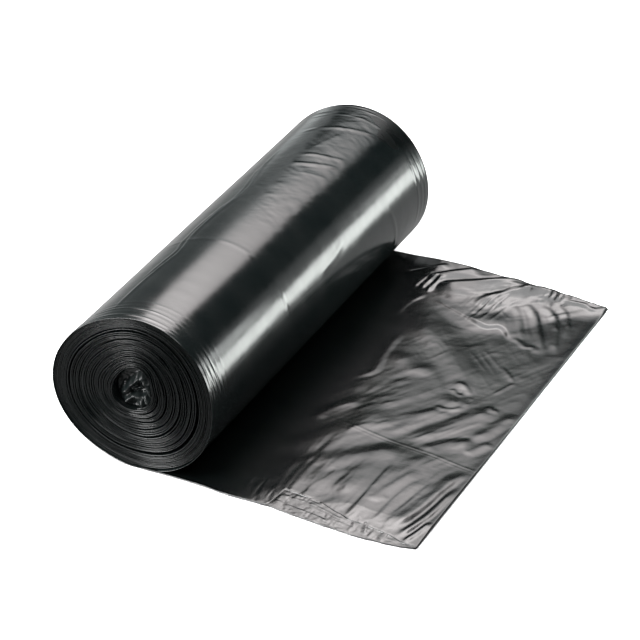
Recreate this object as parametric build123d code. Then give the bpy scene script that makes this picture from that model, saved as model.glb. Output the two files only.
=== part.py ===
from build123d import *

import math
import os

# A coreless roll of folded black bin bags, lying on a floor, with the leading end of the
# outermost bag drawn off to one side. All the bags are one long folded web of film, joined
# at their perforations, so the wound turns and the drawn-off end are a single piece.
#
# Frame: Y runs along the roll, +X points along the drawn-off end, +Z is up. The origin is
# on the floor, half way along the roll. Sections are drawn in the XZ plane, seen with +X
# to the right and +Z up. Sizes are in millimetres.

# Driving dimensions of the wound roll
roll_length = 233.0          # the folded web's width: a 700 mm bag folded in three
shoulder_radius = 37.3       # outermost turn, over the top and down both sides
sag = 4.2                    # how far the soft roll has sunk below a true circle
crown_x = 1.0                # the highest line of the roll, which leans to the free end
flat_left = 4.0              # flat spot, from the YZ plane to the edge of its plain side
flat_right = 8.0             # flat spot, from the YZ plane to the line where the web leaves
turn_pitch = 1.5             # one modelled turn: several folded layers and the air in them
tightest_bend = 1.5          # least radius at the corners of the innermost turn

# Driving dimensions of the two ends of the roll
seam_gap = 0.3               # open slit between one turn and the next
seam_depth = 2.5             # how far the slits are open from each end face
loose_gap = 0.9              # the slit where the winding has slackened
loose_stretch = (0.28, 0.36)  # where that is, as shares of the winding from the outside
sunk_stretches = (           # turns that stand back from the end faces: from, to, depth
    (0.11, 0.20, 0.8),
    (0.44, 0.53, 1.0),
    (0.70, 0.83, 0.7),
)

# Driving dimensions of the loose inner end, which stands up in the hollow as a fold
fold_width = 11.0
fold_height = 9.5

# Driving dimensions of the drawn-off end
free_reach = 134.0           # from the YZ plane to the torn edge
free_skew = 6.0              # degrees: the web was pulled off slightly to one side
panel_rise = 0.5             # the upper folded panel, above the layers under it
panel_edge = 62.0            # from the web's near edge to the upper panel's edge
panel_far_inset = 6.0        # from the web's far edge to the upper panel
gusset_width = 12.0          # the strip of gusset that shows along the near edge
gusset_start = 65.0          # where that strip comes out from under the upper layers
gusset_rise = 0.4            # the strip, above the layers under it
billow_start = 20.0          # where the upper panel first lifts, clear of the roll
billow_stop = 8.0            # from the last billow to the torn edge
billows = ((0.30, 1.4), (0.37, 2.0), (0.33, 1.2))  # share of the length, rise

# The web is one turn thick, without the slit beside it
web_thickness = turn_pitch - seam_gap
layer_top = web_thickness - panel_rise
roll_height = 2 * shoulder_radius - sag


def corner_below(reach):
    """Radius and sweep of the arc from a shoulder to its end of the flat spot.

    reach is the distance along X from the crown to that end of the flat spot.
    """
    sweep = 2 * math.degrees(math.atan2(sag, reach))
    return shoulder_radius - reach / math.sin(math.radians(sweep)), sweep


left_corner, left_sweep = corner_below(crown_x + flat_left)
right_corner, right_sweep = corner_below(flat_right - crown_x)
winding_depth = min(left_corner, right_corner) - tightest_bend
turn_count = math.floor(winding_depth / turn_pitch - 0.5)


def half_turn(half, inset):
    """Edges of one half turn of the seam between turns, moved inwards by inset.

    Even halves run along the flat spot and up the left side to the crown, and odd halves
    run down the right side to the flat spot. Half 0 starts the outside of the roll. The
    radii of each half are half a pitch smaller than the last, so the line winds inwards
    with every joint smooth.
    """
    shrink = turn_pitch * half / 2 + inset
    if half % 2 == 0:
        floor = Line((flat_right, shrink), (-flat_left, shrink))
        corner = JernArc(floor @ 1, (-1, 0), left_corner - shrink, -left_sweep)
        shoulder = JernArc(corner @ 1, corner % 1, shoulder_radius - shrink, left_sweep - 180)
        return [floor, corner, shoulder]
    crown = (crown_x, roll_height + turn_pitch / 2 - shrink)
    shoulder = JernArc(crown, (1, 0), shoulder_radius - shrink, right_sweep - 180)
    corner = JernArc(shoulder @ 1, shoulder % 1, right_corner - shrink, -right_sweep)
    return [shoulder, corner]


def winding(first, last, inset=0.0):
    """Edges of the seam line from one half turn up to, but not including, another."""
    return [edge for half in range(first, last) for edge in half_turn(half, inset)]


def closed_face(edges):
    """Face inside a run of edges whose two ends are joined by a straight line."""
    return make_face(edges + [Line(edges[-1] @ 1, edges[0] @ 0)])


def seam_band(first, last, outer, inner):
    """Face of a band that follows the seam line, between two insets of it."""
    outside = winding(first, last, outer)
    inside = winding(first, last, inner)
    caps = [Line(outside[0] @ 0, inside[0] @ 0), Line(outside[-1] @ 1, inside[-1] @ 1)]
    return make_face(outside + inside + caps)


def halves(share):
    """Half turn that lies at a share of the winding, counted from the outside."""
    return round(2 * turn_count * share)


def roll_section():
    """Section of the wound turns, with the hollow in the middle left open."""
    innermost = 2 * turn_count
    return closed_face(winding(0, 2)) - closed_face(winding(innermost, innermost + 2))


def fold_section():
    """Section of the web's inner end, standing up in the hollow as a folded ridge."""
    foot = turn_pitch * turn_count - seam_gap
    right = flat_right - seam_gap
    left = right - fold_width
    middle = (left + right) / 2
    peak = foot + seam_gap + fold_height
    outside = ThreePointArc((left, foot), (middle, peak), (right, foot))
    inside = ThreePointArc(
        (left + web_thickness, foot), (middle, peak - web_thickness), (right - web_thickness, foot)
    )
    return make_face([outside, inside, Line(outside @ 0, inside @ 0), Line(outside @ 1, inside @ 1)])


def along_y(section, first_y, last_y):
    """Solid of an XZ section that runs from one Y to another."""
    return extrude(Plane.XZ.offset(-last_y) * section, last_y - first_y)


def end_cuts(section, depth):
    """The same cut, made to one depth into each end face of the roll."""
    end_y = roll_length / 2
    near = along_y(section, -end_y - seam_depth, -end_y + depth)
    far = along_y(section, end_y - depth, end_y + seam_depth)
    return [near, far]


def wound_roll():
    """The wound turns, pressed together in the middle and open to the seam at both ends."""
    end_y = roll_length / 2
    roll = along_y(roll_section(), -end_y, end_y) + along_y(fold_section(), -end_y, end_y)

    cuts = end_cuts(seam_band(2, 2 * turn_count + 2, -seam_gap, 0), seam_depth)

    first, last = loose_stretch
    spread = (loose_gap - seam_gap) / 2
    loose = seam_band(halves(first), halves(last), -seam_gap - spread, spread)
    cuts += end_cuts(loose, seam_depth)

    overlap = seam_gap / 3
    for first, last, depth in sunk_stretches:
        web = seam_band(halves(first), halves(last), -turn_pitch - overlap, overlap - seam_gap)
        cuts += end_cuts(web, depth)

    for cut in cuts:
        roll -= cut
    return roll


def drift(x):
    """How far the web has moved towards -Y by the distance x from the YZ plane."""
    return (x - flat_right) * math.tan(math.radians(free_skew))


def panel(first_x, near_inset, far_inset, height):
    """Flat slab of the free end, given how far its sides lie inside the web's edges."""
    near = near_inset - roll_length / 2
    far = roll_length / 2 - far_inset
    outline = Polyline(
        (first_x, near - drift(first_x)),
        (free_reach, near - drift(free_reach)),
        (free_reach, far - drift(free_reach)),
        (first_x, far - drift(first_x)),
        close=True,
    )
    return extrude(make_face(outline), height)


def billowed_section():
    """Section of the free end, whose upper panel lifts off the floor in low billows."""
    x = billow_start
    length = free_reach - billow_stop - billow_start
    top = [Line((0, web_thickness), (x, web_thickness))]
    for share, rise in billows:
        next_x = x + share * length
        crest = ((x + next_x) / 2, web_thickness + rise)
        top.append(ThreePointArc((x, web_thickness), crest, (next_x, web_thickness)))
        x = next_x
    top.append(Line((x, web_thickness), (free_reach, web_thickness)))
    rest = Polyline((free_reach, web_thickness), (free_reach, 0), (0, 0), (0, web_thickness))
    return make_face(top + [rest])


def free_end():
    """The drawn-off end, lying on the floor: lower layers, upper panel and gusset."""
    corner = (Align.MIN, Align.CENTER, Align.MIN)
    under_roll = Box(flat_right, roll_length, web_thickness, align=corner)
    lower_layers = panel(flat_right, 0, 0, layer_top)
    upper_space = panel(flat_right, panel_edge, panel_far_inset, roll_height)
    upper_panel = along_y(billowed_section(), -roll_length, roll_length) & upper_space
    gusset = panel(gusset_start, 0, roll_length - gusset_width, layer_top + gusset_rise)
    return under_roll + lower_layers + upper_panel + gusset


bin_bag_roll = wound_roll() + free_end()

os.makedirs("parts", exist_ok=True)
export_step(bin_bag_roll, "parts/bin_bag_roll.step")
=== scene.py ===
import math

import bpy
import numpy as np
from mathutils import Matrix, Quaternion, Vector


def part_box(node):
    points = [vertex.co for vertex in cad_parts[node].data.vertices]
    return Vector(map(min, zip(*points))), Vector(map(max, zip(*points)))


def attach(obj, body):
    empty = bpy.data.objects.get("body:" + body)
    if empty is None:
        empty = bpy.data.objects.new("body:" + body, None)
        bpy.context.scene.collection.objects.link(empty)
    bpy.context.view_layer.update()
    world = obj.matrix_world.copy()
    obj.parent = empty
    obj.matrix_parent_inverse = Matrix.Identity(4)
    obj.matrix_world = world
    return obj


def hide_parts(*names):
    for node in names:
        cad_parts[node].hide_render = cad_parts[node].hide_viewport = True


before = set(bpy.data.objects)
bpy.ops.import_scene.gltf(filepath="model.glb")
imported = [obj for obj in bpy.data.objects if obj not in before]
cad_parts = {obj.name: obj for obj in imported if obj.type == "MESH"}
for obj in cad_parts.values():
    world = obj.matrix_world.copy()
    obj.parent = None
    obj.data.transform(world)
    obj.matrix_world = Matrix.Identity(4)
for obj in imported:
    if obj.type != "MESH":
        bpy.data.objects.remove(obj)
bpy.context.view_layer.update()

# ---------------------------------------------------------------------------------------
# The wound web. One long strip of bin bags, each bag folded to the width of the roll and
# joined to the next at a perforation, is wound up tightly without a core. Its folded edges
# are the rings at both ends of the roll, and its start lies crumpled in the small hollow.
# ---------------------------------------------------------------------------------------
roll_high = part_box("bin_bag_roll")[1]
mm = 0.001
half_length = roll_high.y / mm
axis_x = 0.5
axis_z = 0.502 * roll_high.z / mm
turn_count = 38
steps_per_turn = 150
film_pack = 0.46
end_clearance = 0.25
fold_depth = 0.55
lowest_fold = 0.35


def outer_radius(angle):
    """From the axis to the outside of the roll, which sags and leans a little to the right."""
    return (36.25 + 0.4 * np.cos(angle) - 0.25 * np.sin(angle) + np.cos(2 * angle)
            - 0.4 * np.sin(2 * angle) - 0.85 * np.cos(3 * angle) - 0.25 * np.sin(3 * angle))


def hollow_radius(angle):
    """From the axis to the innermost turn, around a flattened hollow."""
    return 9.2 - 1.9 * np.cos(angle) - 0.5 * np.cos(2 * angle + 0.5) + 0.6 * np.cos(3 * angle + 1.9)


def unevenness(u, v, size_u, size_v, seed, lean=0):
    """Smooth random heights from -1 to 1, in bumps of about size_u by size_v, turned by lean degrees."""
    dice = np.random.default_rng(seed)
    cells = 128
    lattice = dice.uniform(-1, 1, (cells, cells))
    turn = math.radians(lean)
    a = (u * math.cos(turn) + v * math.sin(turn)) / size_u + dice.uniform(0, 90)
    b = (v * math.cos(turn) - u * math.sin(turn)) / size_v + dice.uniform(0, 90)
    a0 = np.floor(a).astype(int)
    b0 = np.floor(b).astype(int)
    fa = a - a0
    fb = b - b0
    fa = fa ** 3 * (fa * (fa * 6 - 15) + 10)
    fb = fb ** 3 * (fb * (fb * 6 - 15) + 10)
    a1 = (a0 + 1) % cells
    b1 = (b0 + 1) % cells
    a0 = a0 % cells
    b0 = b0 % cells
    near = lattice[a0, b0] * (1 - fa) + lattice[a1, b0] * fa
    far = lattice[a0, b1] * (1 - fa) + lattice[a1, b1] * fa
    return near * (1 - fb) + far * fb


def make_piece(name, points, faces, web=None):
    """A smooth piece from points in millimetres; web is each point's place on the flat film."""
    mesh = bpy.data.meshes.new(name)
    mesh.from_pydata((np.asarray(points) * mm).tolist(), [], faces)
    mesh.update()
    mesh.polygons.foreach_set("use_smooth", np.ones(len(mesh.polygons), bool))
    if web is not None:
        corner_points = np.zeros(len(mesh.loops), int)
        mesh.loops.foreach_get("vertex_index", corner_points)
        place = mesh.uv_layers.new(name="web")
        place.data.foreach_set("uv", (np.asarray(web)[corner_points] * mm).astype(np.float32).ravel())
    piece = bpy.data.objects.new(name, mesh)
    bpy.context.scene.collection.objects.link(piece)
    return piece


def grid_faces(rows, columns, closed=False):
    """The faces between the points of a grid, given row after row."""
    across = columns if closed else columns - 1
    row, column = np.meshgrid(np.arange(rows - 1), np.arange(across), indexing="ij")
    after = (column + 1) % columns
    corners = [row * columns + column, row * columns + after,
               (row + 1) * columns + after, (row + 1) * columns + column]
    return np.stack([c.ravel() for c in corners], -1).tolist()


# how far each turn lies from the last: tight outside, then the slack turn, then looser bundles
dice = np.random.default_rng(5)
spacing = dice.uniform(0.7, 1.3, turn_count)
slack_turn = 27
spacing[slack_turn] = 3.2
for turn, size in ((24, 2.1), (21, 1.6), (17, 2.3), (13, 1.9), (9, 2.2), (6, 1.7), (3, 2.0), (33, 1.4)):
    spacing[turn] = size
share = np.concatenate([[0], np.cumsum(spacing)])
share /= share[-1]

along = np.arange(turn_count * steps_per_turn + 1) / steps_per_turn
angle = -math.pi / 2 + 2 * math.pi * (along - turn_count)


def turn_radius(at, angle):
    """From the axis to the web, at turns from the start and at an angle round the roll."""
    part = np.interp(at, np.arange(turn_count + 1), share)
    wander = 0.42 * unevenness(at, np.cos(angle), 5, 0.6, 31)
    wander += 0.42 * unevenness(at, np.sin(angle), 4, 0.5, 32)
    wander += 0.10 * unevenness(at, angle, 2.5, 0.35, 33)
    ease = np.clip(4 * part * (1 - part), 0, 1)
    inside = hollow_radius(angle)
    outside = outer_radius(angle) - 0.5
    pinch = 0.5 * np.exp(-((at - slack_turn + 2) / 3.5) ** 2) * np.cos(angle - 0.4)
    return inside + (outside - inside) * part + wander * ease - pinch


# each turn is a pack of folded film that doesn't quite fill the room before the next one
middle = turn_radius(along, angle)
next_turn = turn_radius(np.minimum(along + 1, turn_count + 0.0), angle)
room = np.where(along < turn_count - 1, next_turn - middle, 0.6)
half_pack = np.clip(0.40 * room, 0.10, 0.62 * film_pack)
lift = 0.8 * unevenness(along, np.cos(angle + 0.5), 1.5, 0.6, 41)
lift += 0.9 * unevenness(along, np.sin(angle), 3.2, 0.8, 42)
lift += 0.25 * unevenness(along, angle, 0.9, 3.0, 43)
outer_ease = np.clip((turn_count - 1 - along) / 8, 0.12, 1)
# the end faces are a little dished, and each turn stands in or out by its own amount
dish_depth = 2.6
dish = dish_depth * (1 - (middle / outer_radius(angle)) ** 2)
tuck = 0.5 + lift * outer_ease * 0.7 + dish
tuck = np.clip(tuck, 0.05, 4.6)

# across the pack: round the near fold, back along the roll, and round the far fold
fold_turn = np.radians([0, 40, 90, 140, 180])
sections = []
for end in (-1, 1):
    for turned in fold_turn:
        across = (-end * np.cos(turned) + 0.7 * np.sin(turned) ** 2) * half_pack
        out = np.sin(turned) * 2.2 * half_pack
        radius = middle + across
        y = end * (half_length - end_clearance - tuck - fold_depth + out)
        sections.append(np.stack([axis_x + radius * np.cos(angle), y, axis_z + radius * np.sin(angle)], -1))
web_points = np.stack(sections, 1)
web_points[..., 2] = np.maximum(web_points[..., 2], lowest_fold)
count, around = web_points.shape[:2]
web_faces = [f[::-1] for f in grid_faces(count, around, closed=True)]
web_faces.append(list(range(around)))
web_faces.append([(count - 1) * around + k for k in reversed(range(around))])
web_length = np.concatenate([[0], np.cumsum(np.abs(np.diff(angle)) * middle[1:])])
web_place = np.stack(np.broadcast_arrays(web_length[:, None], web_points[..., 1]), -1)
wound_web = make_piece("wound_web", web_points.reshape(-1, 3), web_faces, web_place.reshape(-1, 2))


def film_marks():
    """Shared by every black film here: the haze, drawn streaks and fine puckers of thin polyethylene."""
    group = bpy.data.node_groups.new("film_marks", "ShaderNodeTree")
    face = group.interface
    face.new_socket("Web", in_out="INPUT", socket_type="NodeSocketVector")
    for name, value in (("Streak Length", 20.0), ("Streak Width", 1.5), ("Pucker Size", 3.0),
                        ("Least Roughness", 0.12), ("Most Roughness", 0.3)):
        socket = face.new_socket(name, in_out="INPUT", socket_type="NodeSocketFloat")
        socket.default_value = value
    face.new_socket("Tint", in_out="OUTPUT", socket_type="NodeSocketFloat")
    face.new_socket("Roughness", in_out="OUTPUT", socket_type="NodeSocketFloat")
    face.new_socket("Height", in_out="OUTPUT", socket_type="NodeSocketFloat")
    nodes = group.nodes
    join = group.links.new
    given = nodes.new("NodeGroupInput")
    result = nodes.new("NodeGroupOutput")

    def maths(kind, a, b=None, c=None):
        node = nodes.new("ShaderNodeMath")
        node.operation = kind
        for socket, value in zip(node.inputs, (a, b, c)):
            if value is None:
                continue
            if isinstance(value, (int, float)):
                socket.default_value = value
            else:
                join(value, socket)
        return node.outputs["Value"]

    split = nodes.new("ShaderNodeSeparateXYZ")
    join(given.outputs["Web"], split.inputs["Vector"])
    in_mm_u = maths("MULTIPLY", split.outputs["X"], 1000.0)
    in_mm_v = maths("MULTIPLY", split.outputs["Y"], 1000.0)

    def pattern(size_u, size_v, detail, rough):
        vector = nodes.new("ShaderNodeCombineXYZ")
        join(maths("DIVIDE", in_mm_u, size_u), vector.inputs["X"])
        join(maths("DIVIDE", in_mm_v, size_v), vector.inputs["Y"])
        noise = nodes.new("ShaderNodeTexNoise")
        noise.noise_dimensions = "3D"
        noise.inputs["Scale"].default_value = 1.0
        noise.inputs["Detail"].default_value = detail
        noise.inputs["Roughness"].default_value = rough
        join(vector.outputs["Vector"], noise.inputs["Vector"])
        return noise.outputs["Fac"]

    streaks = pattern(given.outputs["Streak Length"], given.outputs["Streak Width"], 3.0, 0.55)
    pucker_u = maths("MULTIPLY", given.outputs["Pucker Size"], 1.6)
    puckers = pattern(pucker_u, given.outputs["Pucker Size"], 4.0, 0.6)
    haze = pattern(maths("MULTIPLY", given.outputs["Pucker Size"], 7.0),
                   maths("MULTIPLY", given.outputs["Pucker Size"], 4.0), 3.0, 0.5)
    spread = maths("SUBTRACT", given.outputs["Most Roughness"], given.outputs["Least Roughness"])
    worn = maths("MULTIPLY_ADD", haze, 0.7, maths("MULTIPLY", streaks, 0.3))
    even = maths("MULTIPLY_ADD", worn, 2.4, -0.7)
    limited = nodes.new("ShaderNodeClamp")
    join(even, limited.inputs["Value"])
    rough = maths("MULTIPLY_ADD", limited.outputs["Result"], spread, given.outputs["Least Roughness"])
    join(rough, result.inputs["Roughness"])
    join(limited.outputs["Result"], result.inputs["Tint"])
    join(maths("MULTIPLY_ADD", streaks, 0.55, maths("MULTIPLY", puckers, 0.45)), result.inputs["Height"])
    return group


marks = film_marks()


def black_film(name, values, bump, ior=1.5, deep=(0.0022, 0.0036, 0.0037), dusty=(0.0042, 0.0056, 0.0055)):
    """Thin black polyethylene film, glossy, with its own size of marks."""
    finish = bpy.data.materials.new(name)
    finish.use_nodes = True
    tree = finish.node_tree
    shader = tree.nodes["Principled BSDF"]
    shader.inputs["IOR"].default_value = ior
    place = tree.nodes.new("ShaderNodeUVMap")
    place.uv_map = "web"
    group = tree.nodes.new("ShaderNodeGroup")
    group.node_tree = marks
    tree.links.new(place.outputs["UV"], group.inputs["Web"])
    for socket, value in values.items():
        group.inputs[socket].default_value = value
    tint = tree.nodes.new("ShaderNodeMix")
    tint.data_type = "RGBA"
    tint.inputs["A"].default_value = (*deep, 1)
    tint.inputs["B"].default_value = (*dusty, 1)
    tree.links.new(group.outputs["Tint"], tint.inputs["Factor"])
    tree.links.new(tint.outputs["Result"], shader.inputs["Base Color"])
    tree.links.new(group.outputs["Roughness"], shader.inputs["Roughness"])
    puckering = tree.nodes.new("ShaderNodeBump")
    puckering.inputs["Strength"].default_value = 1.0
    puckering.inputs["Distance"].default_value = bump * mm
    tree.links.new(group.outputs["Height"], puckering.inputs["Height"])
    tree.links.new(puckering.outputs["Normal"], shader.inputs["Normal"])
    return finish


# the folded edges get a darker black than the outer turn's film: painted shade that darkens the end faces
wound_web.data.materials.append(black_film(
    "folded_edge_film",
    {"Streak Length": 12.0, "Streak Width": 0.8, "Pucker Size": 2.0,
     "Least Roughness": 0.2, "Most Roughness": 0.36}, bump=0.03,
    deep=(0.0010, 0.0016, 0.0016), dusty=(0.0020, 0.0028, 0.0028), ior=1.33))
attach(wound_web, "root")
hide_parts("bin_bag_roll")

# ---------------------------------------------------------------------------------------
# The crumpled start of the web. The first bag's end was pushed together by hand to start the
# winding, so at each end of the roll the hollow holds a small crumple of the same film.
# ---------------------------------------------------------------------------------------


def smooth_line(points, per_span=10):
    """A smooth line through a few points."""
    p = np.array([points[0], *points, points[-1]], float)
    line = []
    for k in range(1, len(p) - 2):
        for t in np.arange(per_span) / per_span:
            line.append(0.5 * (2 * p[k] + (p[k + 1] - p[k - 1]) * t
                               + (2 * p[k - 1] - 5 * p[k] + 4 * p[k + 1] - p[k + 2]) * t ** 2
                               + (3 * p[k] - p[k - 1] - 3 * p[k + 1] + p[k + 2]) * t ** 3))
    line.append(p[-2])
    return np.array(line)


def fold(u, v, height, left, right, points, crisp=1.0, taper=0.22):
    """One fold along a line: its height over the film, and the widths of its left and right flanks."""
    line = smooth_line(points)
    reach = max(left, right)
    low = line.min(0) - reach
    high = line.max(0) + reach
    touched = (u > low[0]) & (u < high[0]) & (v > low[1]) & (v < high[1])
    out = np.zeros(u.shape)
    if not touched.any():
        return out
    pu = u[touched]
    pv = v[touched]
    nearest = np.full(pu.shape, 1e9)
    side = np.zeros(pu.shape)
    travelled = np.zeros(pu.shape)
    spans = np.hypot(*np.diff(line, axis=0).T)
    done = 0.0
    for start, stop, span in zip(line[:-1], line[1:], spans):
        if span < 1e-9:
            continue
        tu, tv = (stop - start) / span
        t = np.clip((pu - start[0]) * tu + (pv - start[1]) * tv, 0, span)
        du = pu - start[0] - t * tu
        dv = pv - start[1] - t * tv
        distance = np.hypot(du, dv)
        closer = distance < nearest
        nearest[closer] = distance[closer]
        side[closer] = (tu * dv - tv * du)[closer]
        travelled[closer] = done + t[closer]
        done += span
    width = np.where(side > 0, left, right)
    slope = np.clip(1 - nearest / width, 0, 1)
    soft = slope ** 2 * (3 - 2 * slope)
    shape = crisp * slope ** 1.25 + (1 - crisp) * soft
    end = np.clip(np.minimum(travelled, done - travelled) / (taper * done), 0, 1)
    out[touched] = height * shape * end ** 2 * (3 - 2 * end)
    return out


core_set_back = 8.6
core_depth = 12.0
core_bulge = 6.0
core_rings = 34
core_spokes = 110
core_folds = [
    # height towards the end of the roll, widths of its two flanks, and its line across the hollow
    (4.2, 3.0, 2.2, [(-7.5, 29.5), (-4.5, 34), (-1, 38), (2, 40.2), (5, 37.5), (8, 33), (11, 29.5)]),
    (3.2, 2.2, 3.0, [(-6, 27.5), (-2.5, 30.5), (0.5, 31), (3, 28), (2.5, 25.5)]),
    (3.4, 2.5, 2.0, [(3, 33.5), (5.5, 30), (8, 27), (9, 24)]),
    (2.0, 1.4, 1.4, [(-3, 34), (0, 34.6), (2.5, 36.5)]),
    (2.6, 1.6, 2.4, [(7, 36), (9.8, 33), (11.5, 29)]),
]


def fill_core(name, end, seed):
    """The crumpled film in one end of the hollow, end being -1 for the near and 1 for the far end."""
    part = np.linspace(0.02, 1.0, core_rings)[:, None]
    spoke = np.linspace(0, 2 * math.pi, core_spokes, endpoint=False)[None, :]
    reach = part * (hollow_radius(spoke) + 0.25)
    x = axis_x + reach * np.cos(spoke)
    z = axis_z + reach * np.sin(spoke)
    height = 0.9 * (1 - np.abs(unevenness(x, z, 3.2, 2.4, seed)))
    height += 0.5 * (1 - np.abs(unevenness(x, z, 1.6, 1.3, seed + 1)))
    height += 2.0 * np.clip((33 - z) / 8, 0, 1) + 1.0 * np.clip(x / 6, 0, 1)
    for size, left, right, points in core_folds:
        height += fold(x, z, size, left, right, points, crisp=0.8, taper=0.12)
    height *= np.clip((1.02 - part) / 0.08, 0.35, 1)
    y = end * (half_length - core_set_back + np.clip(height, 0, core_bulge))
    front = np.stack([x, y, z], -1).reshape(-1, 3)
    rim = front[-core_spokes:].copy()
    rim[:, 1] = end * (half_length - core_depth)
    hub = [[axis_x, float(y[0].mean()), axis_z]]
    points = np.concatenate([front, rim, hub])
    faces = grid_faces(core_rings + 1, core_spokes, closed=True)
    faces += [[(k + 1) % core_spokes, k, len(points) - 1] for k in range(core_spokes)]
    faces.append([core_rings * core_spokes + k for k in range(core_spokes)])
    if end < 0:
        faces = [f[::-1] for f in faces]
    web = points[:, [0, 2]]
    return make_piece(name, points, faces, web)


core_film = black_film(
    "crumpled_start_film",
    {"Streak Length": 4.0, "Streak Width": 1.2, "Pucker Size": 1.5,
     "Least Roughness": 0.26, "Most Roughness": 0.44}, bump=0.1, ior=1.33)
for name, end, seed in (("web_start_near", -1, 51), ("web_start_far", 1, 61)):
    core = fill_core(name, end, seed)
    core.data.materials.append(core_film)
    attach(core, "root")
    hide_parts("bin_bag_roll")

# ---------------------------------------------------------------------------------------
# The outer turn. The last turn of the web, drawn tight round the roll. The edges of the folds
# under it press through as rings at both ends, and a few slanted creases cross the top.
# ---------------------------------------------------------------------------------------
skin_around = 290
skin_radius = 36.3
skin_wall = 0.20
rim_round = 0.35
y_rows = np.concatenate([
    np.linspace(-half_length, -99, 56, endpoint=False),
    np.linspace(-99, 99, 222, endpoint=False),
    np.linspace(99, half_length, 40),
])
turned = np.linspace(0, 2 * math.pi, skin_around, endpoint=False) - math.pi / 2
around_deg, skin_y = np.meshgrid(np.degrees(turned), y_rows, indexing="ij")
around_mm = np.radians(around_deg) * skin_radius


def at_angles(points):
    """A crease on the outer turn, from places given as (y, degrees round from the right side)."""
    return [(y, math.radians(degrees) * skin_radius) for y, degrees in points]


relief = 0.10 * unevenness(around_mm, skin_y, 16, 90, 11)
relief += 0.05 * unevenness(around_mm, skin_y, 9, 45, 12)
relief += 0.016 * unevenness(around_mm, skin_y, 9, 5, 13)
relief += 0.006 * unevenness(around_mm, skin_y, 7, 2.2, 14)
# fine slanting puckers, most of them over the top of the far half
puckered = np.clip((skin_y + 30) / 50, 0, 1) * np.exp(-((around_deg - 78) / 26) ** 2)
relief += 0.050 * puckered * (1 - 2 * np.abs(unevenness(around_mm, skin_y, 9, 3.2, 15, lean=28)))
relief += 0.032 * puckered * (1 - 2 * np.abs(unevenness(around_mm, skin_y, 6, 2.6, 16, lean=-24)))
relief += 0.030 * puckered * unevenness(around_mm, skin_y, 4, 9, 17, lean=35)
# rings of folded edges that press through, most of them near a rim, as (y, height, width)
for y, height, width in (
        (-115.0, 0.09, 0.6), (-113.1, 0.12, 0.7), (-110.2, 0.07, 0.9), (-107.6, 0.09, 0.6),
        (-104.9, 0.05, 0.8), (-101.2, 0.05, 0.9), (-37.6, 0.06, 1.2), (105.2, 0.06, 0.9),
        (108.6, 0.08, 0.9), (112.0, 0.07, 0.7), (114.6, 0.10, 0.8)):
    weave = 1.1 * unevenness(around_mm, 0 * skin_y + y, 30, 3, 71)
    strength = 1 + 0.9 * unevenness(around_mm, 0 * skin_y + y, 15, 3, 72)
    relief += height * strength * np.exp(-((skin_y - y - weave) / width) ** 2)
# creases that slant over the top, as (height, left flank, right flank, line)
for height, left, right, line in (
        (0.22, 1.6, 3.0, [(46, 96), (48, 88), (50, 80), (53, 71), (57, 61)]),
        (0.20, 1.6, 2.6, [(56, 96), (58.5, 87), (60, 78), (62, 70), (66, 60)]),
        (0.20, 1.8, 2.6, [(85, 116), (87, 105), (89, 92), (91, 80), (94, 68), (98, 56)]),
        (0.10, 1.4, 1.8, [(39, 84), (41, 75), (43, 67), (45, 61)]),
        (0.10, 2.0, 3.0, [(66, 90), (73, 86), (80, 82), (88, 78)]),
        (0.05, 1.2, 1.8, [(97, 84), (100, 79), (102, 74)]),
        (0.05, 1.2, 1.8, [(101, 86), (104, 80), (106, 73)]),
        (0.16, 1.8, 2.6, [(71, 16), (74, 6), (77, -6), (80, -20), (82, -34)]),
        (0.10, 2.4, 3.0, [(-4, 16.5), (8, 17.5), (17, 19.5), (25, 23)]),
):
    relief += fold(skin_y, around_mm, height, left, right, at_angles(line), crisp=0.4)
# the torn-off edge of the outermost bag's fold, wavering along the upper left
for height, left, right, line in (
        (0.34, 0.9, 1.6, [(-110, 112.5), (-85, 113), (-66, 111), (-52, 108), (-40, 110), (-30, 113),
                          (-12, 113), (0, 110.5), (10, 107.5), (22, 108), (32, 112), (48, 117), (70, 119)]),
        (0.26, 0.9, 1.4, [(-78, 116.5), (-60, 114), (-48, 112), (-38, 115.5), (-20, 117), (-4, 114.5),
                          (8, 110.5), (20, 111.5), (34, 116), (50, 120)]),
):
    relief += fold(skin_y, around_mm, height, left, right, at_angles(line), crisp=0.6, taper=0.1)

radius = outer_radius(np.radians(around_deg)) + relief
# the upper right of the roll is a little slimmer towards its far end
slimmer = np.clip((skin_y - 20) / 96, 0, 1) * np.clip(np.cos(np.radians(around_deg - 50)), 0, 1) ** 2
radius -= 0.9 * slimmer ** 2
skin = np.stack([axis_x + radius * np.cos(np.radians(around_deg)), skin_y,
                 axis_z + radius * np.sin(np.radians(around_deg))], -1)
skin[..., 2] = np.maximum(skin[..., 2], 0.0)


def toward_axis(points, inward, outward_y):
    """A copy of a ring of the outer turn, moved in towards the axis and along it."""
    moved = points.copy()
    offset = points[:, [0, 2]] - np.array([axis_x, axis_z])
    length = np.hypot(*offset.T)[:, None]
    moved[:, [0, 2]] -= offset / length * inward
    moved[:, 1] += outward_y
    return moved


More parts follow.
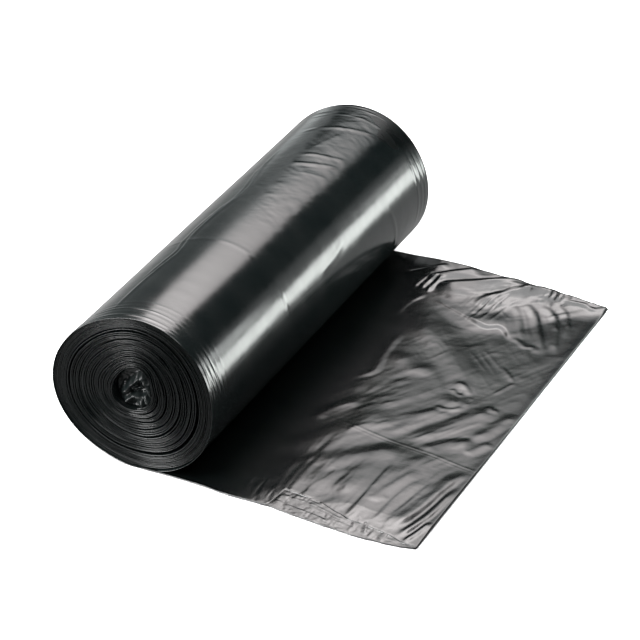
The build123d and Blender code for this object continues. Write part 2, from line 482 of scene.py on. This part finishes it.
# each rim rolls over and runs a little way inside, by (shares of the wall inwards, distance along)
rim_steps = [(3.0, 4.0), (1.6, 0.4), (1.0, 0.0), (0.4, -0.6 * rim_round)]
rings = [toward_axis(skin[:, 0], inward * skin_wall, inset) for inward, inset in rim_steps]
rings += [skin[:, k] for k in range(skin.shape[1])]
rings += [toward_axis(skin[:, -1], inward * skin_wall, -inset) for inward, inset in reversed(rim_steps)]
skin_points = np.stack(rings)
ring_count = len(rings)
skin_faces = grid_faces(ring_count, skin_around, closed=True)
last = (ring_count - 1) * skin_around
for k in range(skin_around):
    after = (k + 1) % skin_around
    skin_faces.append([last + k, last + after, after, k])
skin_faces = [f[::-1] for f in skin_faces]
skin_web = np.stack(np.broadcast_arrays(around_mm[:, 0][None, :], skin_points[..., 1]), -1)
outer_turn = make_piece("outer_turn", skin_points.reshape(-1, 3), skin_faces, skin_web.reshape(-1, 2))
outer_turn.data.materials.append(black_film(
    "tight_film",
    {"Streak Length": 22.0, "Streak Width": 1.3, "Pucker Size": 3.0,
     "Least Roughness": 0.13, "Most Roughness": 0.22}, bump=0.035))
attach(outer_turn, "root")
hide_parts("bin_bag_roll")

# ---------------------------------------------------------------------------------------
# The free end. The last bag is drawn off the bottom of the roll and lies loose on the table:
# a lower layer, a gusset whose fold shows along the near side, and the wrinkled upper panel.
# ---------------------------------------------------------------------------------------
end_x = roll_high.x / mm
start_x = 4.0
gusset_start_x = 40
gusset_inner_y = -99
lower_top = 0.30
loose_level = 0.45
panel_bottom = 0.42
panel_film = 0.30
least_film = 0.12
near_edge = [(0, -117), (22, -118), (35, -119.6), (47, -121.4), (60, -122), (70, -123), (85, -126),
             (97, -127.8), (105, -128.6), (120, -129.6), (128, -128.8), (134, -127.8)]
far_edge = [(0, 113), (22, 112.6), (50, 112.4), (65, 111.6), (77, 109.6), (93, 107.4), (106, 106),
            (118, 104.6), (127, 102.4), (134, 100.8)]
panel_edge = [(0, -117), (22, -118), (35, -119.6), (47, -121.4), (60, -122), (64.6, -122), (66.2, -115),
              (67.2, -109), (75, -110.4), (85, -112.6), (92, -116), (100, -119.4), (110, -121.2),
              (120, -123.5), (128, -126.6), (134, -127.2)]


def edge_at(line, x):
    """Where an edge of the free end lies at x."""
    known = np.array(line, float)
    return np.interp(x, known[:, 0], known[:, 1])


def lay_film(name, x, y, top, bottom):
    """A closed piece of film from a grid of places, its upper face and the level it lies on."""
    rows, columns = x.shape
    upper = np.stack([x, y, top], -1).reshape(-1, 3)
    ring = ([k for k in range(columns)]
            + [r * columns + columns - 1 for r in range(1, rows)]
            + [(rows - 1) * columns + k for k in range(columns - 2, -1, -1)]
            + [r * columns for r in range(rows - 2, 0, -1)])
    lower = upper[ring].copy()
    lower[:, 2] = bottom
    faces = [f[::-1] for f in grid_faces(rows, columns)]
    first = len(upper)
    count = len(ring)
    for k in range(count):
        after = (k + 1) % count
        faces.append([ring[k], ring[after], first + after, first + k])
    faces.append([first + k for k in range(count)])
    points = np.concatenate([upper, lower])
    return make_piece(name, points, faces, points[:, :2])


# the layers that lie under the gusset and the upper panel
x, t = np.meshgrid(np.linspace(start_x, end_x - 0.4, 60), np.linspace(0, 1, 90), indexing="ij")
low_edge = edge_at(near_edge, x) + 0.6
high_edge = edge_at(far_edge, x) + 0.3
y = low_edge + (high_edge - low_edge) * t
lower_panel = lay_film("lower_panel", x, y, lower_top + 0.04 * unevenness(x, y, 9, 14, 81), 0.0)


def smooth_step(value, start, stop):
    """From 0 at start to 1 at stop, with soft ends."""
    t = np.clip((value - start) / (stop - start), 0, 1)
    return t * t * (3 - 2 * t)


# how high the far side stands off the table, by x, and how far each mm of that draws the film in and right
draw_in = 1.7
draw_right = 0.75
far_stand = [(30, 0), (36, 1.4), (42, 3.2), (50, 4.9), (60, 5.6), (78, 6.5), (96, 6.2), (110, 4.8),
             (122, 3.0), (130, 2.3), (134, 2.0)]


def far_side(x):
    """Where the far side of the free end lies at x, drawn in as far as it stands up."""
    return edge_at(far_edge, x) - draw_in * edge_at(far_stand, x)


def lie(x, y):
    """How high the loose end lies over the table, before its creases."""
    shelf = np.clip(y - edge_at(near_edge, x), 0, 12 + 7 * smooth_step(x, 82, 98))
    shelf_height = 0.08 * shelf * smooth_step(x, 48, 72) * (1 - 0.65 * smooth_step(x, 98, 126))
    height = loose_level + shelf_height * (1 - smooth_step(y, -104, -40))
    foot = 53 + 30 * smooth_step(x, 94, 124) + 14 * (1 - smooth_step(x, 56, 80))
    climb = np.clip((y - foot) / (far_side(x) - foot), 0, 1)
    height += edge_at(far_stand, x) * climb ** (1.6 + 0.15 * smooth_step(x, 96, 124))
    return height + 0.5 * np.clip((x - 128) / 6, 0, 1) ** 2


# the gusset, crinkled where its fold comes out beside the upper panel
x, t = np.meshgrid(np.linspace(gusset_start_x, end_x, 220), np.linspace(0, 1, 74), indexing="ij")
x = np.minimum(x, end_x - 0.25 + 0.25 * unevenness(t * 30, t, 3, 9, 82))
low_edge = edge_at(near_edge, x) + 0.35 * unevenness(x, 0 * x, 5, 9, 83)
y = low_edge + (gusset_inner_y - low_edge) * t
crinkle = 0.13 * np.abs(unevenness(x, y, 7.0, 2.6, 84, lean=-14))
crinkle += 0.08 * np.abs(unevenness(x, y, 3.6, 2.4, 85, lean=10))
crinkle += 0.08 * np.abs(unevenness(x, y, 2.0, 3.4, 89, lean=-6))
crinkle += 0.02 * unevenness(x, y, 1.2, 1.6, 86)
top = lie(x, y) + 0.05 + crinkle * smooth_step(-102 - y, 0, 5)
for height, left, right, line in (
        (0.18, 1.0, 1.6, [(103, -119), (104.2, -123), (103.2, -128)]),
        (0.28, 1.0, 2.2, [(107, -117), (109.4, -122), (110.4, -127)]),
        (0.16, 1.3, 1.8, [(111.5, -119), (113.5, -123), (112.4, -129)]),
        (0.30, 1.4, 2.6, [(115, -116), (118.4, -121), (118.8, -127), (117.4, -130)]),
        (0.16, 1.4, 1.6, [(66, -113.5), (78, -114.5), (90, -118), (101, -122)]),
        (0.13, 1.2, 1.4, [(70, -119), (82, -121), (95, -124.5)]),
):
    top += fold(x, y, height, left, right, line, crisp=0.5)
gusset = lay_film("gusset", x, y, top, lower_top - 0.05)

# the upper panel, with finer rows along its near side
columns_x = np.linspace(start_x, end_x, 232)
near_rows = 66
far_rows = 322
near_band = 30.0
x_near, t_near = np.meshgrid(columns_x, np.linspace(0, 1, near_rows, endpoint=False), indexing="ij")
x_far, t_far = np.meshgrid(columns_x, np.linspace(0, 1, far_rows), indexing="ij")
hem = edge_at(panel_edge, x_near) + 0.2 * unevenness(x_near, 0 * x_near, 5, 9, 87)
inner = edge_at(near_edge, x_near) + near_band
y_near = hem + (inner - hem) * t_near
inner = edge_at(near_edge, x_far) + near_band
far = far_side(x_far) + 0.25 * unevenness(x_far, 0 * x_far, 6, 9, 88)
y_far = inner + (far - inner) * t_far
x = np.concatenate([x_near, x_far], 1)
y = np.concatenate([y_near, y_far], 1)

base = lie(x, y)
top = base + panel_film
# creases are laid out on the flat film, which then climbs to the far side and shortens as it does
flat_level = 1.5
climbed = base - flat_level
u = x - draw_right * climbed
v = y + draw_in * climbed
# soft swells that carry the creases: height, place, half widths
for height, (cx, cy), (wide, deep) in (
        (0.6, (88, 62), (14, 9)),
        (0.5, (79, 9), (6, 5)), (0.3, (68, 15), (6, 5)), (0.4, (101.5, 2.5), (5, 4)),
        (0.4, (102.5, -12), (6, 4.5)), (0.6, (108, -72), (13, 20)), (0.4, (80, -42), (10, 14)),
        (0.25, (78, -95), (6, 9)), (0.5, (95, 99), (3.6, 3)),
        (0.8, (60, 84), (26, 40))):
    top += height * np.exp(-((u - cx) / wide) ** 2 - ((v - cy) / deep) ** 2)
# folds of three kinds, each as (height, left flank, right flank, line)
pleats = [
    # the pleats that fan out to the far side
    (0.7, 3.2, 7.5, [(36, 90), (44, 98), (53, 108)]),
    (1.0, 3.6, 9.5, [(48, 90), (56, 98.5), (68, 109)]),
    (1.5, 5.0, 14, [(53, 83), (62, 89), (75, 97), (92, 108)]),
    (1.2, 4.2, 12, [(76, 76), (82, 85), (90, 94), (98, 101), (112, 103)]),
    (0.47, 1.3, 2.2, [(45.5, 78), (46.2, 87), (48, 98)]),
    (0.47, 1.3, 2.0, [(49.2, 79), (49.8, 88), (51, 97)]),
    (0.55, 1.4, 2.4, [(53, 77), (53.4, 86), (54.6, 95)]),
    (0.27, 1.0, 1.6, [(104.6, 93), (104.9, 98), (104.4, 104)]),
    (0.23, 1.0, 1.6, [(107.8, 94), (108, 98), (107.4, 103)]),
    (0.23, 1.0, 1.6, [(110.6, 95), (110.9, 99), (110.4, 103)]),
    (0.39, 2.2, 3.0, [(112, 97), (122, 97), (131, 93)]),
    # the sharp part of the fold that wanders across below the pleats
    (0.16, 5, 1.1, [(60, 72), (68, 68), (76, 64), (86, 59.5)]),
    (0.66, 16, 3.0, [(78, 63), (82, 62), (87, 59.5), (91, 58.5), (95.5, 61), (100, 59), (104, 54),
                     (107, 50)]),
    # upright puckers that end on it
    (0.19, 1.2, 1.5, [(79.5, 64), (80.5, 76), (83, 88)]),
    (0.24, 1.2, 1.4, [(82.6, 62), (83.4, 78), (86, 92)]),
    (0.24, 1.2, 1.4, [(86.4, 60), (87, 77), (89.5, 94)]),
    (0.18, 1.2, 1.5, [(90.4, 60), (91.4, 74), (93.6, 90)]),
]
creases = [
    # the soft right end of the wandering fold, and the curved edge of the flat part beside the roll
    (0.21, 2.9, 2.5, [(104, 53), (109, 51), (113, 48), (117, 48.5), (120, 44)]),
    (0.25, 4.5, 2.5, [(50, 52), (49, 58), (50, 66), (54, 76)]),
    # arcs in the far corner
    (0.35, 2.7, 3.6, [(97, 88), (103, 82), (108, 75), (112.5, 66), (117.5, 56), (122.5, 44)]),
    (0.35, 2.7, 3.6, [(104, 89), (111, 84), (116, 78), (120, 69), (124, 57), (128, 46)]),
    (0.25, 2.2, 3.4, [(111, 92), (118, 86), (123, 76), (127, 62)]),
    (0.21, 2.2, 3.1, [(93, 84), (99, 76), (104, 66), (108, 56)]),
    # the long slant across the middle
    (0.63, 14.6, 11.2, [(54, 50), (64, 46.5), (74, 40), (84, 30), (94, 17.5), (107.5, 1)]),
    (0.21, 4.5, 3.4, [(52, -10), (57, -6), (60.5, 0), (59, 10), (57.8, 24), (58, 40)]),
    (0.11, 1.6, 2, [(110, 27), (115, 22), (121, 15)]),
    (0.14, 1.6, 2, [(116, 1), (118.5, 8), (121.5, 16)]),
    (0.17, 2.2, 2.7, [(97, 5), (101, 3.5), (105, 0), (107, -4)]),
    (0.17, 2, 2.5, [(98, -1), (101, -4), (105, -6)]),
    (0.18, 2.2, 2.7, [(97, -17), (101, -19.5), (106, -18), (109, -14)]),
    (0.19, 2.2, 2.9, [(119, -9), (121, -12), (124, -11)]),
    # slanting folds on the right
    (0.6, 7.3, 9, [(99, -52), (104, -42), (110, -31), (116, -20), (123, -8)]),
    (0.42, 5, 9, [(106, -57), (112, -49), (118, -44), (125, -41)]),
    (0.42, 5, 5.6, [(122, -40), (126, -31), (129, -22), (132, -10)]),
    (0.25, 3.4, 4.5, [(124, -52), (128, -44), (132, -38)]),
    (0.18, 4.5, 5.6, [(90, -50), (93, -38), (97, -26), (103, -18)]),
    # beside the roll
    (0.32, 4.5, 4.9, [(52.5, -52), (55.5, -43), (60, -35), (67, -27)]),
    (0.42, 10.1, 11.2, [(52, -80), (60, -68), (68, -56), (73, -48), (77, -36), (80, -28)]),
    # below the pressed fold
    (0.42, 7.8, 9, [(69, -86), (78, -76), (88, -66), (98, -58)]),
    (0.42, 10.1, 12.3, [(87, -106), (88.5, -90), (90, -74), (96, -64), (108, -62)]),
    (0.28, 2.2, 6.7, [(98.6, -121), (99.4, -108), (99.6, -92), (100.6, -70)]),
    (0.08, 1.8, 2.9, [(65.8, -112), (65.8, -95), (66.2, -72)]),
    (0.09, 1.8, 3.1, [(69, -112), (68.8, -92), (70, -72)]),
    (0.25, 2.9, 5.6, [(103, -104), (105.5, -92), (108.5, -82), (112, -72)]),
    (0.25, 2.5, 4.5, [(110.5, -120), (111.4, -106), (112.6, -92), (117, -76)]),
    (0.25, 2.7, 4.5, [(115.5, -122), (117, -108), (119.5, -92), (122, -76)]),
    (0.09, 3.4, 2.9, [(100, -99), (104.5, -100.5), (109, -97)]),
    (0.84, 5.6, 3.8, [(117.5, -122), (121.5, -110), (124.8, -95), (127, -80), (129, -71), (133, -65)]),
    (0.7, 2.9, 2.5, [(123.5, -127), (127, -115), (129.6, -103), (131, -90), (132, -78)]),
    (0.56, 2.2, 2, [(128, -128), (130.5, -119), (132.5, -108)]),
]
# the pressed fold, a fine double line
pressed = [
    (0.09, 1.6, 0.7, [(46, -43.6), (72, -49.8), (86, -53), (98, -55.6), (112, -58.4), (146, -65.9)]),
    (0.05, 1.2, 0.6, [(46, -45.6), (72, -51.6), (86, -54.8), (98, -57.4), (112, -60.2), (146, -67.7)]),
]
for kind, crisp in ((pleats, 0.4), (creases, 0.2), (pressed, 0.6)):
    for height, left, right, line in kind:
        top += fold(u, v, height, left, right, line, crisp=crisp)
# lesser folds, which follow the pull of the film: upright near the roll's near end, fanning at the far side
dice = np.random.default_rng(17)
for _ in range(330):
    at_u = dice.uniform(50, 133)
    at_v = dice.uniform(-121, 106)
    if at_v > 78:
        lean, steep = 38 + dice.normal(0, 14), 0.09
    elif at_v > 45 and at_u > 92:
        lean, steep = -62 + dice.normal(0, 12), 0.05
    elif at_v > -8:
        lean, steep = dice.choice([-48, 25, 75]) + dice.normal(0, 16), 0.018
    elif at_v > -62:
        lean, steep = 62 + dice.normal(0, 10), 0.032
    else:
        lean, steep = 80 + dice.normal(0, 10), 0.03
    steep *= dice.uniform(0.25, 1.0) * smooth_step(at_u, 44, 66)
    half = dice.uniform(3, 15)
    wide = dice.uniform(1.0, 2.2 + half / 5)
    run = np.array([math.cos(math.radians(lean)), math.sin(math.radians(lean))])
    bow = np.array([-run[1], run[0]]) * half * dice.normal(0, 0.16)
    middle_point = np.array([at_u, at_v])
    line = [middle_point - half * run, middle_point + bow, middle_point + half * run]
    top += fold(u, v, steep * wide, wide * dice.uniform(0.6, 1.1), wide * dice.uniform(1.0, 1.9), line,
                crisp=0.3, taper=0.4)
# gathered patches of fine ridges: height, place, half widths, ridge spacing, ridge length, lean
for height, (cx, cy), (wide, deep), apart, long, lean in (
        (0.10, (84, 78), (10, 16), 2.6, 16, -6), (0.12, (56, -114), (10, 8), 1.5, 9, 4),
        (0.06, (112, 70), (12, 20), 3.2, 26, 28), (0.06, (76, 32), (8, 12), 2.4, 16, 38),
        (0.05, (104, 30), (16, 22), 3.4, 20, 42), (0.06, (118, -100), (12, 20), 2.2, 16, -10),
        (0.06, (84, -88), (14, 18), 3.2, 12, -12), (0.08, (110, 98), (20, 7), 2.4, 9, 8),
        (0.05, (78, -25), (14, 20), 3.0, 18, -32), (0.06, (104, -8), (9, 12), 2.6, 5, 10),
        (0.08, (100, -118), (30, 5), 2.2, 6, -6), (0.05, (112, -35), (12, 14), 2.6, 14, -30)):
    patch = np.exp(-((u - cx) / wide) ** 2 - ((v - cy) / deep) ** 2)
    top += height * patch * (1 - 2 * np.abs(unevenness(u, v, apart, long, int(cx * 7 + cy + 500), lean)))
# everyday unevenness of loose film, pulled one way at the near side, another in the middle, a third far off
loose = np.clip((u - 46) / 24, 0, 1)
calm = 1 - 0.55 * np.exp(-((v - 20) / 32) ** 2)
near_part = smooth_step(-v, 40, 75)
far_part = smooth_step(v, 48, 74)
for part, lean, seed in ((near_part, -6, 91), (1 - near_part - far_part, -31, 95), (far_part, -54, 101)):
    pulled = 0.16 * calm * unevenness(u, v, 11, 46, seed, lean)
    pulled += 0.060 * calm * unevenness(u, v, 5.5, 22, seed + 1, lean - 4)
    pulled += 0.024 * (1 - 2 * np.abs(unevenness(u, v, 3.2, 14, seed + 2, lean + 3)))
    top += loose * part * pulled
top += loose * 0.010 * (1 - 2 * np.abs(unevenness(u, v, 2.6, 4.5, 93, lean=25)))
# the cut and folded edges lie close to what is under them
least = np.maximum(base + least_film, panel_bottom + least_film)
top = np.maximum(top, least)
edge_run = 1.2
from_edge = np.minimum(end_x - x, y - y[:, :1])
close = np.sqrt(np.clip(from_edge / edge_run, 0, 1))
top = least + (top - least) * (0.35 + 0.65 * close)
upper_panel = lay_film("upper_panel", x, y, top, panel_bottom)

loose_film = black_film(
    "loose_film",
    {"Streak Length": 9.0, "Streak Width": 1.4, "Pucker Size": 2.2,
     "Least Roughness": 0.185, "Most Roughness": 0.225}, bump=0.03,
    deep=(0.0007, 0.0011, 0.0011), dusty=(0.0012, 0.0018, 0.0018))
for piece in (lower_panel, gusset, upper_panel):
    piece.data.materials.append(loose_film)
    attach(piece, "root")
    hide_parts("bin_bag_roll")

# ---------------------------------------------------------------------------------------
# The table and the light. A plain white table, painted a dim grey where the film reflects it, under a broad
# soft light, with a tall soft screen behind the roll, a low bright one to its right and a small one in
# front.
# ---------------------------------------------------------------------------------------
table_half = 4.0
table_mesh = bpy.data.meshes.new("table")
table_mesh.from_pydata([(-table_half, -table_half, 0), (table_half, -table_half, 0),
                        (table_half, table_half, 0), (-table_half, table_half, 0)], [], [(0, 1, 2, 3)])
table = bpy.data.objects.new("table", table_mesh)
bpy.context.scene.collection.objects.link(table)
table.location.z = -0.1 * mm
white_table_with_painted_dim_reflection = bpy.data.materials.new("white_table_with_painted_dim_reflection")
white_table_with_painted_dim_reflection.use_nodes = True
table_shader = white_table_with_painted_dim_reflection.node_tree.nodes["Principled BSDF"]
table_shader.inputs["Roughness"].default_value = 0.9
table_shader.inputs["Specular IOR Level"].default_value = 0.1
# the table is white to the camera but painted a dim grey for glossy rays: a painted dimmer reflection of
# the table in the film
path = white_table_with_painted_dim_reflection.node_tree.nodes.new("ShaderNodeLightPath")
painted_dim_reflection = white_table_with_painted_dim_reflection.node_tree.nodes.new("ShaderNodeMix")
painted_dim_reflection.data_type = "RGBA"
painted_dim_reflection.inputs["A"].default_value = (0.86, 0.86, 0.86, 1)
painted_dim_reflection.inputs["B"].default_value = (0.25, 0.25, 0.25, 1)
white_table_with_painted_dim_reflection.node_tree.links.new(path.outputs["Is Glossy Ray"], painted_dim_reflection.inputs["Factor"])
white_table_with_painted_dim_reflection.node_tree.links.new(painted_dim_reflection.outputs["Result"], table_shader.inputs["Base Color"])
table_mesh.materials.append(white_table_with_painted_dim_reflection)


def hang_light(name, place, aim, width, height, glow):
    """A soft light at place, turned to face aim, with its face as bright as glow."""
    lamp = bpy.data.lights.new(name, "AREA")
    lamp.shape = "RECTANGLE"
    lamp.size = width
    lamp.size_y = height
    lamp.energy = glow * math.pi * width * height
    box = bpy.data.objects.new(name, lamp)
    box.location = place
    facing = Vector(aim) - Vector(place)
    box.rotation_euler = facing.to_track_quat("-Z", "Y").to_euler()
    box.visible_camera = False
    bpy.context.scene.collection.objects.link(box)


hang_light("overhead", place=(0.1, 0.0, 1.35), aim=(0.05, 0, 0), width=1.8, height=1.6, glow=6.2)
hang_light("front", place=(-0.48, -0.60, 0.38), aim=(0, -0.11, 0.03), width=0.24, height=0.75, glow=37.0)


class GlowingScreen:
    """A flat screen that only shows in reflections, with parts that glow more or less."""

    def __init__(self, name, corners):
        mesh = bpy.data.meshes.new(name)
        mesh.from_pydata(corners, [], [(0, 1, 2, 3)])
        screen = bpy.data.objects.new(name, mesh)
        bpy.context.scene.collection.objects.link(screen)
        screen.visible_camera = False
        paper = bpy.data.materials.new(name + "_paper")
        paper.use_nodes = True
        mesh.materials.append(paper)
        self.nodes = paper.node_tree.nodes
        self.join = paper.node_tree.links.new
        self.nodes.remove(self.nodes["Principled BSDF"])
        self.emit = self.nodes.new("ShaderNodeEmission")
        self.join(self.emit.outputs["Emission"], self.nodes["Material Output"].inputs["Surface"])
        where = self.nodes.new("ShaderNodeTexCoord")
        place = self.nodes.new("ShaderNodeSeparateXYZ")
        self.join(where.outputs["Object"], place.inputs["Vector"])
        self.x, self.y, self.z = (place.outputs[axis] for axis in "XYZ")

    def fade(self, source, start, stop, low, high, kind="SMOOTHSTEP"):
        """A value that goes from low at start to high at stop."""
        node = self.nodes.new("ShaderNodeMapRange")
        node.interpolation_type = kind
        for socket, value in (("From Min", start), ("From Max", stop), ("To Min", low), ("To Max", high)):
            node.inputs[socket].default_value = value
        self.join(source, node.inputs["Value"])
        return node.outputs["Result"]

    def combine(self, kind, values):
        """The product or the sum of several values."""
        total = values[0]
        for value in values[1:]:
            node = self.nodes.new("ShaderNodeMath")
            node.operation = kind
            self.join(total, node.inputs[0])
            if isinstance(value, float):
                node.inputs[1].default_value = value
            else:
                self.join(value, node.inputs[1])
            total = node.outputs["Value"]
        return total

    def glow(self, strength, colour):
        """Set the glow, much weaker where it would be a reflection of a reflection."""
        path = self.nodes.new("ShaderNodeLightPath")
        once = self.fade(path.outputs["Ray Depth"], 1.4, 1.6, 1.0, 0.04, "LINEAR")
        self.join(self.combine("MULTIPLY", [strength, once]), self.emit.inputs["Strength"])
        self.join(colour, self.emit.inputs["Color"])

    def tint(self, amount, low, high):
        """A colour between low and high."""
        node = self.nodes.new("ShaderNodeMix")
        node.data_type = "RGBA"
        node.inputs["A"].default_value = (*low, 1)
        node.inputs["B"].default_value = (*high, 1)
        self.join(amount, node.inputs["Factor"])
        return node.outputs["Result"]


# the screen behind: dark at the foot, so that flat film stays dark, and brighter the higher it goes
back_y = 0.62
back_left = -0.85
back_right = 0.24
back_top = 1.3
back = GlowingScreen("back_screen", [(back_left, back_y, 0.0), (back_right, back_y, 0.0),
                                     (back_right, back_y, back_top), (back_left, back_y, back_top)])
right_fade = back.fade(back.x, 0.11, 0.185, 1.0, 0.0)
rise = back.combine("POWER", [back.fade(back.z, 0.285, 0.60, 0.0, 1.05, "LINEAR"), 1.25])
main = back.combine("MULTIPLY", [back.fade(back.x, -0.39, -0.28, 0.0, 1.0), right_fade, rise, 5.4])
# a weaker strip to the left of it, strongest near the foot
side = back.combine("MULTIPLY", [back.fade(back.x, -0.46, -0.34, 0.18, 0.55),
                                 back.fade(back.x, -0.34, -0.29, 1.0, 0.0),
                                 back.fade(back.z, 0.08, 0.14, 2.4, 1.0),
                                 back.fade(back.z, 0.50, 0.70, 1.0, 0.0)])
# the bright top, which the steeper folds of the free end reflect
upper = back.combine("MULTIPLY", [back.fade(back.x, -0.75, -0.55, 0.0, 1.0), right_fade,
                                  back.fade(back.z, 0.62, 0.86, 0.0, 6.5, "LINEAR")])
back.glow(back.combine("ADD", [main, side, upper]),
          back.tint(back.fade(back.z, 0.36, 0.52, 0.0, 1.0), (0.95, 1.0, 1.0), (1.0, 0.955, 0.95)))

# the low screen on the right: a bright bar along the foot, with a patch over each of its ends
right_x = 0.145
right_far = 0.32
right_foot = 0.006
right_top = 0.125
right = GlowingScreen("right_screen", [(right_x, 0.0, right_foot), (right_x, right_far, right_foot),
                                       (right_x, right_far, right_top), (right_x, 0.0, right_top)])
bar = right.combine("MULTIPLY", [right.fade(right.z, 0.008, 0.018, 0.0, 8.5),
                                 right.fade(right.z, 0.0485, 0.0545, 1.0, 0.0)])
near_lobe = right.combine("MULTIPLY", [right.fade(right.y, 0.080, 0.105, 4.2, 0.0),
                                       right.fade(right.z, 0.054, 0.061, 0.0, 1.0),
                                       right.fade(right.z, 0.078, 0.088, 1.0, 0.0)])
far_lobe = right.combine("MULTIPLY", [right.fade(right.y, 0.20, 0.225, 0.0, 1.9),
                                      right.fade(right.z, 0.054, 0.061, 0.0, 1.0),
                                      right.fade(right.z, 0.070, 0.080, 1.0, 0.0)])
# and a faint glow that fades out at its top
haze = right.fade(right.z, 0.090, 0.120, 0.55, 0.0)
right.glow(right.combine("ADD", [bar, near_lobe, far_lobe, haze]),
           right.tint(right.fade(right.z, 0.02, 0.12, 0.0, 1.0), (0.96, 1.0, 0.97), (0.95, 1.0, 1.0)))

studio = bpy.data.worlds.new("studio")
studio.use_nodes = True
world_nodes = studio.node_tree.nodes
world_join = studio.node_tree.links.new
sky = world_nodes["Background"]
light_path = world_nodes.new("ShaderNodeLightPath")
seen = world_nodes.new("ShaderNodeMix")
seen.data_type = "RGBA"
seen.inputs["A"].default_value = (0.012, 0.014, 0.014, 1)
seen.inputs["B"].default_value = (1, 1, 1, 1)
world_join(light_path.outputs["Is Camera Ray"], seen.inputs["Factor"])
world_join(seen.outputs["Result"], sky.inputs["Color"])
bpy.context.scene.world = studio
bpy.context.scene.view_settings.view_transform = "Standard"

# ---------------------------------------------------------------------------------------
# The eye. A long lens, looking down at the near end of the roll from the right.
# ---------------------------------------------------------------------------------------
eye = bpy.data.cameras.new("eye")
eye.sensor_width = 36
eye.lens = 195.5
eye.clip_end = 20
camera = bpy.data.objects.new("eye", eye)
bpy.context.scene.collection.objects.link(camera)
eye_place = (0.5818, -1.2382, 0.7463)
eye_azimuth = math.radians(23.867)
eye_elevation = math.radians(28.175)
eye_roll = math.radians(0.49)
toward_eye = Vector((math.sin(eye_azimuth) * math.cos(eye_elevation),
                     -math.cos(eye_azimuth) * math.cos(eye_elevation), math.sin(eye_elevation)))
camera.location = eye_place
camera.rotation_mode = "QUATERNION"
level = toward_eye.to_track_quat("Z", "Y")
camera.rotation_quaternion = Quaternion(toward_eye, eye_roll) @ level
bpy.context.scene.camera = camera
